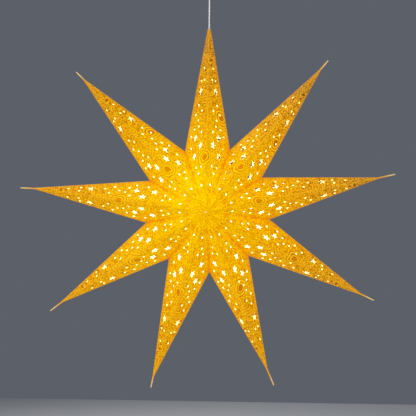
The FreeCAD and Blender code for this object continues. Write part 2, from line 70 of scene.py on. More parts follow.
# How the punching tool sat on each sheet: its shift clockwise, its slip towards the hub and its turn.
PUNCH_SHIFTS = (-1.2, 0.5, 0.8, 2.3, 0.6, 0.1, 0.4, -0.6, -0.1)
PUNCH_SLIPS = (1.4, 2.5, 2.0, 1.6, 1.4, 0.7, 0.3, 0.2, 0.6)
PUNCH_TURNS = (-1.0, 0.4, 0.3, 1.1, 0.3, 0.1, 0.6, -0.3, -0.3)
PUNCH_MIDDLE_MM = 180


def star_point(direction, reach, depth=0.0):
    """A point of the star: direction is clockwise from the top in degrees, depth is backwards."""
    turn = math.radians(direction)
    return HUB + Vector((reach * math.sin(turn), depth, reach * math.cos(turn)))


def fold_direction(number):
    if number == 0:
        return fold_direction(ARMS) - 360
    return 360 / ARMS * (number - 0.5) + FOLD_DRIFTS[number - 1]


def notch_point(number):
    shift = NOTCH_SHIFTS_MM[(number or ARMS) - 1] * MM
    return star_point(fold_direction(number), FOLD_REACH + shift)


def arm_direction(number):
    middle = (fold_direction(number - 1) + fold_direction(number)) / 2
    return middle + ARM_LEANS[number - 1]


top_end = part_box("arm_1")[1].z
print("cut end of the top arm, solid and here:", round(top_end, 5), round(HUB.z + ARM_REACH - TOP_TRIM, 5))

# %% [markdown]
# The camera comes first, because everything is judged through it. It stands 1.3 m in front of the
# hub, a little to the right and a little above it, where the tips, notches and hub of the star fall
# on their places in the photograph. The star hangs half a degree askew there, so the camera rolls by
# that much. A lens of 71 mm on a 36 mm sensor keeps the mild perspective.

# %% Camera


def add_object(name, data):
    """Put a mesh, a curve, a lamp or a camera into the scene as an object."""
    added = bpy.data.objects.new(name, data)
    bpy.context.scene.collection.objects.link(added)
    return added


CAMERA_DISTANCE = 1.3
CAMERA_AZIMUTH = math.radians(1.56)
CAMERA_ELEVATION = math.radians(2.6)
CAMERA_ROLL = math.radians(0.5)
LENS_MM = 71.25
SENSOR_MM = 36
# The middle of the picture lies this little beside and above the hub.
AIM_OFFSET = Vector((0.0005, 0, 0.002))
away = Vector((
    math.sin(CAMERA_AZIMUTH) * math.cos(CAMERA_ELEVATION),
    -math.cos(CAMERA_AZIMUTH) * math.cos(CAMERA_ELEVATION),
    math.sin(CAMERA_ELEVATION),
))
camera_data = bpy.data.cameras.new("camera")
camera_data.lens = LENS_MM
camera_data.sensor_width = SENSOR_MM
camera = add_object("camera", camera_data)
camera.location = HUB + away * CAMERA_DISTANCE
look = HUB + AIM_OFFSET - camera.location
camera.rotation_mode = "QUATERNION"
turned = look.to_track_quat("-Z", "Y").to_matrix().to_4x4()
camera.rotation_quaternion = (turned @ Matrix.Rotation(CAMERA_ROLL, 4, "Z")).to_quaternion()
bpy.context.scene.camera = camera
print("camera at", [round(value, 3) for value in camera.location])

# %% [markdown]
# The star hangs on its own lamp cord, a round white sheath two millimetres thick. The weight of the
# star pulls it dead straight, from the contact insert in the lampholder up to the terminal block under
# the ceiling plate. A turned cylinder would look the same, but one NURBS curve with a round bevel can
# still be laid another way by whoever uses the lamp. The control points near the middle don't bend it,
# they only keep its parts evenly long.

# %% Lamp cord
CORD = 0.002
CORD_FOOT = Vector((0, 0, -0.287))
CORD_HEAD = Vector((0, 0, -0.012))
CORD_POINTS = [
    CORD_FOOT,
    Vector((0, 0, -0.230)),
    Vector((0, 0, -0.160)),
    Vector((0, 0, -0.080)),
    CORD_HEAD,
]


def cord_curve(name, points, diameter):
    """A round cord on one open NURBS spline."""
    data = bpy.data.curves.new(name, "CURVE")
    data.dimensions = "3D"
    data.bevel_depth = diameter / 2
    data.bevel_resolution = 4
    data.use_fill_caps = True
    spline = data.splines.new("NURBS")
    spline.points.add(len(points) - 1)
    for point, place in zip(spline.points, points):
        point.co = (place.x, place.y, place.z, 1)
    spline.order_u = 3
    spline.use_endpoint_u = True
    spline.resolution_u = 12
    return add_object(name, data)


lamp_cord = cord_curve("lamp_cord", CORD_POINTS, CORD)
print("lamp cord:", round((CORD_HEAD - CORD_FOOT).length, 4), "m long")

# %% [markdown]
# A material is a small network of nodes. One function adds a node with its settings, and lets another
# fill its inputs with numbers or with links to other nodes. A third turns the usual sRGB hex colours
# into the linear numbers that the shaders work in.

# %% Helpers for materials and node trees


def linear(code):
    """An sRGB hex colour such as F0A000 as linear red, green, blue and alpha."""
    parts = [int(code[start:start + 2], 16) / 255 for start in (0, 2, 4)]
    bent = [part / 12.92 if part <= 0.04045 else ((part + 0.055) / 1.055) ** 2.4 for part in parts]
    return (*bent, 1)


def fill_inputs(tree, node, inputs):
    """Give each input of a node a number, a colour, another node or one of its sockets."""
    for name, value in inputs.items():
        if isinstance(value, bpy.types.Node):
            value = next(socket for socket in value.outputs if socket.enabled)
        if isinstance(value, bpy.types.NodeSocket):
            tree.links.new(value, node.inputs[name])
        else:
            node.inputs[name].default_value = value


def add_node(tree, kind, inputs=None, **settings):
    """Add a node with its settings and fill its inputs."""
    node = tree.nodes.new(kind)
    for name, value in settings.items():
        setattr(node, name, value)
    fill_inputs(tree, node, inputs or {})
    return node


def new_material(name):
    """An empty material with its shader and its output."""
    material = bpy.data.materials.new(name)
    material.use_nodes = True
    tree = material.node_tree
    tree.nodes.clear()
    shader = add_node(tree, "ShaderNodeBsdfPrincipled")
    add_node(tree, "ShaderNodeOutputMaterial", {"Surface": shader})
    return material, tree, shader


print("F0A000 as linear numbers:", [round(part, 3) for part in linear("F0A000")])

# %% [markdown]
# Each arm is one sheet of card, folded along its front and back ridges. The print, the punched holes
# and the glue tabs all follow the flat sheet, so the lesson needs flat coordinates: how far a point
# lies from the ridge, and how far from the tip. A small class keeps the directions of one quarter of
# an arm, which is one flat panel from the ridge to a notch.

# %% Flat panels of the arms


def towards(goal, direction):
    """The direction itself, or its opposite if it points away from the goal."""
    return -direction if direction.dot(goal) < 0 else direction


class Panel:
    """One flat quarter of an arm: front or back, before or after the arm clockwise."""

    def __init__(self, number, is_front, is_after):
        direction = arm_direction(number)
        hub_depth = -HALF_DEPTH if is_front else HALF_DEPTH
        self.number = number
        self.side = 1 if is_after else -1
        self.hub = HUB + Vector((0, hub_depth, 0))
        self.tip = star_point(direction, ARM_REACH)
        self.notch = notch_point(number if is_after else number - 1)
        middle = star_point(direction, FOLD_REACH)
        self.to_tip = (self.tip - self.hub).normalized()
        to_notch = self.notch - self.hub
        self.outward = towards(self.hub - middle, self.to_tip.cross(to_notch).normalized())
        self.across = towards(to_notch, self.outward.cross(self.to_tip))
        fold_normal = self.outward.cross(to_notch).normalized()
        outline_normal = self.outward.cross(self.tip - self.notch).normalized()
        self.from_fold = towards(self.tip - self.hub, fold_normal)
        self.from_outline = towards(self.hub - self.notch, outline_normal)

    def place(self, across_mm, along_mm):
        """The point of the panel at these distances from the ridge and from the tip."""
        return self.tip - self.to_tip * (along_mm * MM) + self.across * (across_mm * MM)

    def punched_place(self, across_mm, along_mm):
        """Where a hole comes on the panel, given how the tool sat on this arm's sheet."""
        turn = math.tan(math.radians(PUNCH_TURNS[self.number - 1]))
        shift = PUNCH_SHIFTS[self.number - 1] + turn * (along_mm - PUNCH_MIDDLE_MM)
        slip = PUNCH_SLIPS[self.number - 1] - turn * self.side * across_mm
        return self.place(across_mm + self.side * shift, along_mm + slip)

    def flat(self, point):
        """Signed distance from the ridge and distance from the tip, in millimetres."""
        offset = point - self.tip
        return self.side * offset.dot(self.across) / MM, -offset.dot(self.to_tip) / MM

    def fold_distance(self, point):
        """Distance from the valley fold to the next arm, in millimetres."""
        return (point - self.hub).dot(self.from_fold) / MM

    def outline_distance(self, point):
        """Distance from the outline between the notch and the tip, in millimetres."""
        return (point - self.notch).dot(self.from_outline) / MM


def arm_panels(number):
    return [Panel(number, is_front, is_after) for is_front in (True, False) for is_after in (True, False)]


panel = arm_panels(2)[0]
print("flat panel of arm 2: hub at", [round(value, 1) for value in panel.flat(panel.hub)])
print("notch at", [round(value, 1) for value in panel.flat(panel.notch)])

# %% [markdown]
# Besides the big stars, which the solids already have, each panel is punched with sixteen small
# round holes. They let the lamp show as bright points. Cutting them is repeated work, so Geometry
# Nodes do it: a tree sets a short cylinder at each marked place, turned to the card, and takes all of
# them away from the arm in one go. Real punches cut clean, so the cylinders need no more than ten
# sides at this size.

# %% Tree that punches the small holes
HOLE_DIAMETER = 0.0034
PUNCH_SIDES = 10
# Distance from the ridge and from the tip, in millimetres.
HOLE_PLACES = (
    (12.8, 78.0), (11.2, 97.8), (20.9, 96.4), (27.2, 134.8),
    (16.8, 146.4), (35.8, 148.1), (27.1, 159.3), (25.3, 169.8),
    (38.5, 171.4), (16.8, 180.6), (47.9, 180.7), (47.3, 200.5),
    (29.9, 234.9), (15.7, 235.7), (22.1, 245.8), (12.9, 265.7),
)


def new_tree(name, inputs):
    """An empty tree with a geometry in and out and these named inputs, and the sockets they come from."""
    tree = bpy.data.node_groups.new(name, "GeometryNodeTree")
    for title, kind in {"Geometry": "Geometry", **inputs}.items():
        tree.interface.new_socket(title, in_out="INPUT", socket_type="NodeSocket" + kind)
    tree.interface.new_socket("Geometry", in_out="OUTPUT", socket_type="NodeSocketGeometry")
    return tree, add_node(tree, "NodeGroupInput").outputs


def end_tree(tree, geometry, finish):
    """End a tree: its instances become real faces, and all faces get their material."""
    whole = add_node(tree, "GeometryNodeRealizeInstances", {"Geometry": geometry})
    painted = add_node(tree, "GeometryNodeSetMaterial", {"Geometry": whole, "Material": finish})
    add_node(tree, "NodeGroupOutput", {"Geometry": painted})


def punching_tree():
    """Nodes that punch a round hole through the card at each marked point."""
    tree, given = new_tree("Punch small holes", {
        "Hole places": "Object",
        "Hole diameter": "Float",
        "Punch length": "Float",
        "Card": "Material",
    })
    places = add_node(tree, "GeometryNodeObjectInfo", {
        "Object": given["Hole places"],
    }, transform_space="RELATIVE")
    aim = add_node(tree, "GeometryNodeInputNamedAttribute", {"Name": "aim"}, data_type="FLOAT_VECTOR")
    turn = add_node(tree, "FunctionNodeAlignRotationToVector", {
        "Vector": aim.outputs["Attribute"],
    }, axis="Z")
    radius = add_node(tree, "ShaderNodeMath", {0: given["Hole diameter"], 1: 0.5}, operation="MULTIPLY")
    punch = add_node(tree, "GeometryNodeMeshCylinder", {
        "Vertices": PUNCH_SIDES, "Radius": radius, "Depth": given["Punch length"],
    })
    punches = add_node(tree, "GeometryNodeInstanceOnPoints", {
        "Points": places.outputs["Geometry"], "Instance": punch, "Rotation": turn,
    })
    solid = add_node(tree, "GeometryNodeRealizeInstances", {"Geometry": punches})
    cut = add_node(tree, "GeometryNodeMeshBoolean", operation="DIFFERENCE", solver="EXACT")
    tree.links.new(given["Geometry"], cut.inputs["Mesh 1"])
    tree.links.new(solid.outputs["Geometry"], cut.inputs["Mesh 2"])
    end_tree(tree, cut.outputs["Mesh"], given["Card"])
    return tree


punching = punching_tree()
print("holes to punch:", len(HOLE_PLACES) * 4 * ARMS)

# %% [markdown]
# The print of the card is like marbled paper: fine winding lines, and here and there a knot, a dark
# core with thin rings round it. A picture of the print could be laid over the card, but it would show
# its pixels close up. Formulas stay sharp at any size and repeat nowhere. A ring pattern is the cosine
# of the distance from the knot's middle, and a slow noise added to that distance makes the rings
# waver. The distance comes from a UV map of its own, in millimetres, whose origin is the knot.

# %% Knots with rings
# Rings: their spacing, how far they wander, where the dark core ends and where the rings fade out.
RING_SPACING_MM = 4.8
RING_DRIFT_MM = 6.0
CORE_ENDS_MM = (4.2, 6.2)
RINGS_END_MM = (13.0, 18.0)
KNOT_SCALE = (0.78, 1.08, 1)


def ring_pattern(tree, name, drift):
    """Rings round a knot with a dark core, and the share of the card that they cover."""
    knot = add_node(tree, "ShaderNodeUVMap", uv_map=name)
    oval = add_node(tree, "ShaderNodeMapping", {"Vector": knot, "Scale": KNOT_SCALE})
    reach = add_node(tree, "ShaderNodeVectorMath", {0: oval}, operation="LENGTH")
    wander = add_node(tree, "ShaderNodeMath", {
        0: drift, 1: RING_DRIFT_MM, 2: reach,
    }, operation="MULTIPLY_ADD")
    phase = add_node(tree, "ShaderNodeMath", {
        0: wander, 1: 2 * math.pi / RING_SPACING_MM,
    }, operation="MULTIPLY")
    lines = add_node(tree, "ShaderNodeMath", {0: phase}, operation="COSINE")
    core = add_node(tree, "ShaderNodeMapRange", {
        "Value": reach,
        "From Min": CORE_ENDS_MM[0],
        "From Max": CORE_ENDS_MM[1],
        "To Min": -4.4,
        "To Max": 0.3,
    })
    rings = add_node(tree, "ShaderNodeMath", {0: lines, 1: 2.4, 2: core}, operation="MULTIPLY_ADD")
    share = add_node(tree, "ShaderNodeMapRange", {
        "Value": reach,
        "From Min": RINGS_END_MM[0],
        "From Max": RINGS_END_MM[1],
        "To Min": 1.0,
        "To Max": 0.0,
    })
    return rings, share


print("rings of a knot:", round((RINGS_END_MM[0] - CORE_ENDS_MM[1]) / RING_SPACING_MM, 1))

# %% [markdown]
# The ink itself adds up feathered lines, winding lines and a fine grain. The shader builds them from
# the flat coordinates in millimetres, so they follow each sheet into its folds. Real lines are about
# 1.5 mm apart and would blur away in a picture of the whole star, so they are drawn two to three times
# as coarse. Near the hub, where the points of all arms meet, the grain is drawn out into streaks.
# Every length of the pattern has a name here, and the numbers that stay in the nodes are strengths.

# %% Ink pattern of the card
HUB_ALONG_MM = math.hypot(ARM_REACH, HALF_DEPTH) / MM
DRIFT_MM = 16.0
FEATHER_SPACING_MM = 5.4
FEATHER_DRIFT_MM = 26.0
WINDING_MM = 5.0
GRAIN_MM = 2.2
# Streaks at the hub: where they begin and where they are full, how many go round and how long one is.
STREAKS_REACH_MM = (85.0, 40.0)
STREAKS_ROUND = 45.0
STREAK_SHARE_OF_MM = 0.14
STREAK_GRAIN = 1 / 2.2


def ink_pattern(tree, flat, across, along):
    """The share of ink at a place, its distances from the ridge and the hub, and the slow noise."""
    drift = add_node(tree, "ShaderNodeTexNoise", {
        "Vector": flat, "Scale": 1 / DRIFT_MM, "Detail": 3.0,
    }, noise_dimensions="2D")
    # Feathered lines leave the ridge towards the tip and wander in broad waves.
    aside = add_node(tree, "ShaderNodeMath", {0: across}, operation="ABSOLUTE")
    slant = add_node(tree, "ShaderNodeMath", {0: aside, 1: 0.6, 2: along}, operation="MULTIPLY_ADD")
    waves = add_node(tree, "ShaderNodeMath", {
        0: drift, 1: FEATHER_DRIFT_MM, 2: slant,
    }, operation="MULTIPLY_ADD")
    phase = add_node(tree, "ShaderNodeMath", {
        0: waves, 1: 2 * math.pi / FEATHER_SPACING_MM,
    }, operation="MULTIPLY")
    lines = add_node(tree, "ShaderNodeMath", {0: phase}, operation="SINE")
    # Winding lines: places where a soft noise passes its middle value.
    winding = add_node(tree, "ShaderNodeTexNoise", {
        "Vector": flat, "Scale": 1 / WINDING_MM, "Detail": 1.0, "Distortion": 0.6,
    }, noise_dimensions="2D")
    off_middle = add_node(tree, "ShaderNodeMath", {0: winding, 1: 0.5}, operation="SUBTRACT")
    from_line = add_node(tree, "ShaderNodeMath", {0: off_middle}, operation="ABSOLUTE")
    worms = add_node(tree, "ShaderNodeMapRange", {
        "Value": from_line, "From Min": 0.01, "From Max": 0.13, "To Min": -1.5, "To Max": 1.0,
    })
    grain = add_node(tree, "ShaderNodeTexNoise", {
        "Vector": flat, "Scale": 1 / GRAIN_MM, "Detail": 1.0,
    }, noise_dimensions="2D")
    speckle = add_node(tree, "ShaderNodeMath", {0: grain, 1: 3.0, 2: -1.5}, operation="MULTIPLY_ADD")
    texture = add_node(tree, "ShaderNodeMath", {0: worms, 1: speckle}, operation="ADD")
    # The winding lines grow faint round a knot, where the rings take over.
    for name in ("knot_one_mm", "knot_two_mm"):
        rings, share = ring_pattern(tree, name, drift)
        lines = add_node(tree, "ShaderNodeMix", {"Factor": share, "A": lines, "B": rings})
        calm = add_node(tree, "ShaderNodeMapRange", {"Value": share, "To Min": 1.0, "To Max": 0.3})
        texture = add_node(tree, "ShaderNodeMath", {0: texture, 1: calm}, operation="MULTIPLY")
    # Near the hub the grain is drawn out into streaks that run to the middle.
    to_hub = add_node(tree, "ShaderNodeVectorMath", {
        0: flat, 1: (0, HUB_ALONG_MM, 0),
    }, operation="SUBTRACT")
    hub_reach = add_node(tree, "ShaderNodeVectorMath", {0: to_hub}, operation="LENGTH")
    hub_axes = add_node(tree, "ShaderNodeSeparateXYZ", {0: to_hub})
    bearing = add_node(tree, "ShaderNodeMath", {
        0: hub_axes.outputs["X"], 1: hub_axes.outputs["Y"],
    }, operation="ARCTAN2")
    round_way = add_node(tree, "ShaderNodeMath", {0: bearing, 1: STREAKS_ROUND}, operation="MULTIPLY")
    long_way = add_node(tree, "ShaderNodeMath", {0: hub_reach, 1: STREAK_SHARE_OF_MM}, operation="MULTIPLY")
    polar = add_node(tree, "ShaderNodeCombineXYZ", {"X": round_way, "Y": long_way})
    streaks = add_node(tree, "ShaderNodeTexNoise", {
        "Vector": polar, "Scale": STREAK_GRAIN, "Detail": 2.0,
    }, noise_dimensions="2D")
    long_lines = add_node(tree, "ShaderNodeMapRange", {
        "Value": streaks, "From Min": 0.35, "From Max": 0.65, "To Min": -1.0, "To Max": 1.0,
    })
    at_hub = add_node(tree, "ShaderNodeMapRange", {
        "Value": hub_reach, "From Min": STREAKS_REACH_MM[0], "From Max": STREAKS_REACH_MM[1],
    })
    lines = add_node(tree, "ShaderNodeMix", {"Factor": at_hub, "A": lines, "B": long_lines})
    pattern = add_node(tree, "ShaderNodeMath", {0: lines, 1: texture}, operation="ADD")
    ink = add_node(tree, "ShaderNodeMapRange", {
        "Value": pattern, "From Min": -1.7, "From Max": 1.4, "To Min": 1.0, "To Max": 0.0,
    })
    return ink, aside, hub_reach, drift


print("the hub lies", round(HUB_ALONG_MM, 1), "mm from a tip, along the ridge")

# %% [markdown]
# Along each valley fold the glue tabs of two arms lie behind the card and hold back the light. So an
# orange shade runs from the notch towards the hub, uneven like the glue, with a thin darker line
# where the two sheets meet. The tabs could be shadows of real sheets, but the card's own shader knows
# the distance from the fold already, and a shade drawn from it stays soft and free of noise.

# %% Shade of the glue tabs
# Distance from the fold over which each shade fades, and distance from the hub over which it grows.
TABS_WIDE_MM = 15.0
TABS_GROW_MM = (50.0, 125.0)
JOINT_WIDE_MM = (0.8, 2.6)
JOINT_GROWS_MM = (20.0, 90.0)


def fold_shade(tree, edge, hub_reach, drift):
    """How much the glue tabs behind a valley fold darken the card."""
    broad = add_node(tree, "ShaderNodeMapRange", {
        "Value": edge, "From Min": 0.0, "From Max": TABS_WIDE_MM, "To Min": 0.5, "To Max": 0.0,
    })
    from_hub = add_node(tree, "ShaderNodeMapRange", {
        "Value": hub_reach, "From Min": TABS_GROW_MM[0], "From Max": TABS_GROW_MM[1],
    })
    uneven = add_node(tree, "ShaderNodeMapRange", {
        "Value": drift, "From Min": 0.35, "From Max": 0.6, "To Min": 0.3, "To Max": 1.0,
    })
    patchy = add_node(tree, "ShaderNodeMath", {0: broad, 1: uneven}, operation="MULTIPLY")
    tabs = add_node(tree, "ShaderNodeMath", {0: patchy, 1: from_hub}, operation="MULTIPLY")
    # The joint itself is a thin line that shows almost to the hub.
    joint = add_node(tree, "ShaderNodeMapRange", {
        "Value": edge,
        "From Min": JOINT_WIDE_MM[0],
        "From Max": JOINT_WIDE_MM[1],
        "To Min": 0.35,
        "To Max": 0.0,
    })
    past_hub = add_node(tree, "ShaderNodeMapRange", {
        "Value": hub_reach, "From Min": JOINT_GROWS_MM[0], "From Max": JOINT_GROWS_MM[1],
    })
    return add_node(tree, "ShaderNodeMath", {
        0: joint, 1: past_hub, 2: tabs,
    }, operation="MULTIPLY_ADD", use_clamp=True)


print("the glue tabs' shade reaches", TABS_WIDE_MM, "mm from the fold")

# %% [markdown]
# The card is yellow printed paper board, lit from inside by a small bulb. Most of what the eye sees is
# lamplight that comes through it. A translucent shader round a real lamp could show that, but it needs
# very many samples to be free of specks. Here the card shines by itself: its emission follows the
# distance from the bulb, bright yellow close to it, orange further out and ochre at the tips. Two
# colour ramps hold the bare print and the inked lines, and the pattern mixes them. A narrow warm shade
# follows the outline, where the sheet is folded over its own seam. The ink also colours what the card
# reflects of the room, which is little beside the lamplight.

# %% Printed card
# The light falls off between these distances from the middle of the glow. Towards the side that the
# lampholder shades, each metre counts for this much more of the way out.
GLOW_MIDDLE = HUB + Vector((-0.014, 0, 0.045))
LIGHT_REACH = (0.03, 0.29)
SHADED_SIDE = (0.44, 0, 1.3)
# Share of the way out from the bulb, colour of the bare print and colour of the inked lines.
PRINT_STOPS = (
    (0.0, "FFEE00", "F6B800"),
    (0.08, "FFE000", "ECA200"),
    (0.16, "FFD600", "DE8C00"),
    (0.29, "FFD000", "DC8A00"),
    (0.53, "FFC60A", "C46C00"),
    (0.76, "FFBE1A", "A85E00"),
    (0.93, "FFB82A", "8C5200"),
    (1.0, "EAA834", "724602"),
)


def set_ramp(node, stops):
    """Give a colour ramp its stops, each a place from 0 to 1 and a hex colour."""
    ramp = node.color_ramp
    while len(ramp.elements) > 1:
        ramp.elements.remove(ramp.elements[-1])
    ramp.elements[0].position = stops[0][0]
    ramp.elements[0].color = linear(stops[0][1])
    for position, code in stops[1:]:
        element = ramp.elements.new(position)
        element.color = linear(code)


def printed_card():
    material, tree, shader = new_material("Printed card lit from inside")
    flat = add_node(tree, "ShaderNodeUVMap", uv_map="flat_mm")
    axes = add_node(tree, "ShaderNodeSeparateXYZ", {0: flat})
    ink_share, aside, hub_reach, drift = ink_pattern(tree, flat, axes.outputs["X"], axes.outputs["Y"])
    # The opal globe lights the card about evenly from hub to back, so depth counts for half.
    place = add_node(tree, "ShaderNodeTexCoord").outputs["Object"]
    flattened = add_node(tree, "ShaderNodeVectorMath", {0: place, 1: (1, 0.5, 1)}, operation="MULTIPLY")
    reach = add_node(tree, "ShaderNodeVectorMath", {0: flattened, 1: GLOW_MIDDLE}, operation="DISTANCE")
    reached = add_node(tree, "ShaderNodeMapRange", {
        "Value": reach, "From Min": LIGHT_REACH[0], "From Max": LIGHT_REACH[1],
    })
    # The lampholder stands in the way of the upper arms, so they get less light than the lower ones.
    from_hub = add_node(tree, "ShaderNodeVectorMath", {0: place, 1: HUB}, operation="SUBTRACT")
    shaded_way = add_node(tree, "ShaderNodeVectorMath", {
        0: from_hub, 1: SHADED_SIDE,
    }, operation="DOT_PRODUCT")
    far = add_node(tree, "ShaderNodeMath", {0: reached, 1: shaded_way}, operation="ADD")
    paper = add_node(tree, "ShaderNodeValToRGB", {"Fac": far})
    set_ramp(paper, [(position, bare) for position, bare, inked in PRINT_STOPS])
    ink = add_node(tree, "ShaderNodeValToRGB", {"Fac": far})
    set_ramp(ink, [(position, inked) for position, bare, inked in PRINT_STOPS])
    colour = add_node(tree, "ShaderNodeMix", {"Factor": ink_share, "A": paper, "B": ink}, data_type="RGBA")
    # Painted highlight along the ridge: the crease is drawn brighter, where it catches more light.
    on_ridge = add_node(tree, "ShaderNodeMapRange", {
        "Value": aside, "From Min": 0.0, "From Max": 5.0, "To Min": 0.3, "To Max": 0.0,
    })
    off_hub = add_node(tree, "ShaderNodeMapRange", {
        "Value": hub_reach, "From Min": 60.0, "From Max": 150.0,
    })
    ridge_highlight = add_node(tree, "ShaderNodeMath", {0: on_ridge, 1: off_hub}, operation="MULTIPLY")
    edges = add_node(tree, "ShaderNodeUVMap", uv_map="edges_mm")
    edge_axes = add_node(tree, "ShaderNodeSeparateXYZ", {0: edges})
    at_fold = fold_shade(tree, edge_axes.outputs["X"], hub_reach, drift)
    shades = [(ridge_highlight, "FFC020"), (at_fold, "E87E00")]
    # The card turns away from the bulb towards the outline, and darkest is the seam itself. The pinched
    # tips are glued flat and carry a painted highlight, so the print is drawn pale there.
    for measure, begin, end, first_share, last_share, code in (
        (edge_axes.outputs["Y"], 0.0, 16.0, 0.3, 0.0, "F09408"),
        (edge_axes.outputs["Y"], 0.5, 6.5, 0.5, 0.0, "C48C34"),
        (axes.outputs["Y"], 20.0, 8.0, 0.0, 0.8, "F0CE84"),
    ):
        share = add_node(tree, "ShaderNodeMapRange", {
            "Value": measure,
            "From Min": begin,
            "From Max": end,
            "To Min": first_share,
            "To Max": last_share,
        })
        shades.append((share, code))
    for share, code in shades:
        colour = add_node(tree, "ShaderNodeMix", {
            "Factor": share, "A": colour, "B": linear(code),
        }, data_type="RGBA")
    reflected = add_node(tree, "ShaderNodeVectorMath", {0: colour, "Scale": 0.4}, operation="SCALE")
    bump = add_node(tree, "ShaderNodeBump", {"Strength": 0.2, "Distance": 0.0002, "Height": ink_share})
    fill_inputs(tree, shader, {
        "Base Color": reflected,
        "Emission Color": colour,
        "Emission Strength": 0.72,
        "Roughness": 0.75,
        "Specular IOR Level": 0.03,
        "Normal": bump,
    })
    return material


card_print = printed_card()
print("card print nodes:", len(card_print.node_tree.nodes))

# %% [markdown]
# The back of the card is plain white board. It faces the bulb, so through the holes it looks like
# bright warm light that fades to pale yellow towards the tips. It could be lit by the lamp itself, but
# the light would have to bounce many times inside the star, so this side shines by itself too. The
# fine fibre is a quick noise that only shows close up. The glue tabs are the same bare board.

# %% Bare side of the card


def bare_card():
    material, tree, shader = new_material("Bare white board lit by the bulb")
    place = add_node(tree, "ShaderNodeTexCoord").outputs["Object"]
    reach = add_node(tree, "ShaderNodeVectorMath", {0: place, 1: HUB}, operation="DISTANCE")
    far = add_node(tree, "ShaderNodeMapRange", {"Value": reach, "From Min": 0.09, "From Max": 0.27})
    glow = add_node(tree, "ShaderNodeValToRGB", {"Fac": far})
    set_ramp(glow, ((0.0, "FFFDF0"), (0.35, "FFF4D2"), (0.7, "F2D88C"), (1.0, "C49A48")))
    fibre = add_node(tree, "ShaderNodeTexNoise", {"Vector": place, "Scale": 900.0, "Detail": 3.0})
    tone = add_node(tree, "ShaderNodeMapRange", {"Value": fibre, "To Min": 0.9, "To Max": 1.05})
    light = add_node(tree, "ShaderNodeVectorMath", {0: glow, "Scale": tone}, operation="SCALE")
    fill_inputs(tree, shader, {
        "Base Color": linear("ECE2C8"),
        "Emission Color": light,
        "Emission Strength": 0.85,
        "Roughness": 0.85,
        "Specular IOR Level": 0.2,
    })
    return material


card_inside = bare_card()
print("bare card nodes:", len(card_inside.node_tree.nodes))

# %% [markdown]
# Each arm starts as a copy of its solid. The solid's mesh is loose triangles, so the copy's doubled
# corners are merged, because the punches need a closed shape. The places of the holes go into a mesh
# of bare points, which is what a tree can set its instances on.

# %% Copies of the solids and marks for the holes


def hole_markers(number):
    """A point for each small hole of an arm, with the direction through the card."""
    places = []
    aims = []
    for panel in arm_panels(number):
        for across, along in HOLE_PLACES:
            places.append(panel.punched_place(across, along))
            aims.append(panel.outward)
    data = bpy.data.meshes.new(f"hole_markers_{number}")
    data.from_pydata(places, [], [])
    attribute = data.attributes.new("aim", "FLOAT_VECTOR", "POINT")
    for item, aim in zip(attribute.data, aims):
        item.vector = aim
    return add_object(data.name, data)


def merged_copy(node, name):
    """A copy of a solid's mesh, with corners closer than a thousandth of a millimetre merged."""
    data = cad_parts[node].data.copy()
    work = bmesh.new()
    work.from_mesh(data)
    bmesh.ops.remove_doubles(work, verts=work.verts, dist=0.001 * MM)
    work.to_mesh(data)
    work.free()
    data.name = name
    data.materials.clear()
    return add_object(name, data)


first_hole = arm_panels(1)[0].punched_place(*HOLE_PLACES[0])
print("first hole of the top arm at", [round(value, 4) for value in first_hole])

# %% [markdown]
# A tree is run by a modifier. Its inputs are set by the identifiers of their sockets, because their
# names are only labels. Then the evaluated mesh takes the place of the old one and the modifier goes,
# so that the piece is an ordinary mesh from there on.

# %% Run a tree on a piece


def set_inputs(modifier, values):
    """Set a node tree's named inputs by the identifiers of their sockets."""
    for item in modifier.node_group.interface.items_tree:
        if item.in_out == "INPUT" and item.name in values:
            modifier[item.identifier] = values[item.name]


def made_plain(piece):
    """Turn what the modifiers give into a plain mesh and take them off."""
    bpy.context.view_layer.update()
    graph = bpy.context.evaluated_depsgraph_get()
    plain = bpy.data.meshes.new_from_object(piece.evaluated_get(graph))
    piece.modifiers.clear()
    piece.data = plain
    plain.name = piece.name
    return piece


for item in punching.interface.items_tree:
    print(item.in_out.lower(), item.name, "is", item.identifier)

# %% [markdown]
# After the cut, each face is told whether it is the printed outside or the bare inside. The cut edges
# of the holes shine in the colour of the print. The flat coordinates are written as UV maps: one for
# the print, one for the distances from the valley fold and the outline, and one for each knot. The
# knots could be scattered by a noise. Here each arm has its own one or two instead, because on the real
# star every blank is cut from another part of the printed sheet and shows one or two near its middle.

# %% Printed and bare faces
# A printed face looks outwards, closer to the panel's normal than 28 degrees and less than 4 mm from
# its plane. A cut edge stands upright in the card.
PRINTED_FACING = 0.88
PRINTED_NEAR = 0.004
EDGE_FACING = 0.3
EDGE_NEAR = 1.5 * CARD_THICK
# When a face could belong to two panels, 20 mm from a plane count as much as a right angle to it.
NEAR_UNIT = 0.02
# Middle of the knots on each arm: signed distance from the ridge and distance from the tip. An arm
# with one knot has its second one far outside the card.
FAR_OFF = (900.0, 900.0)
KNOTS = (
    ((-7, 225), (39, 153)),
    ((-4, 223), (34, 150)),
    ((-1.5, 227), FAR_OFF),
    ((0, 151), FAR_OFF),
    ((-13, 173), FAR_OFF),
    ((5, 171), FAR_OFF),
    ((-14, 170), FAR_OFF),
    ((-1, 169), FAR_OFF),
    ((1, 221), (37, 148)),
)


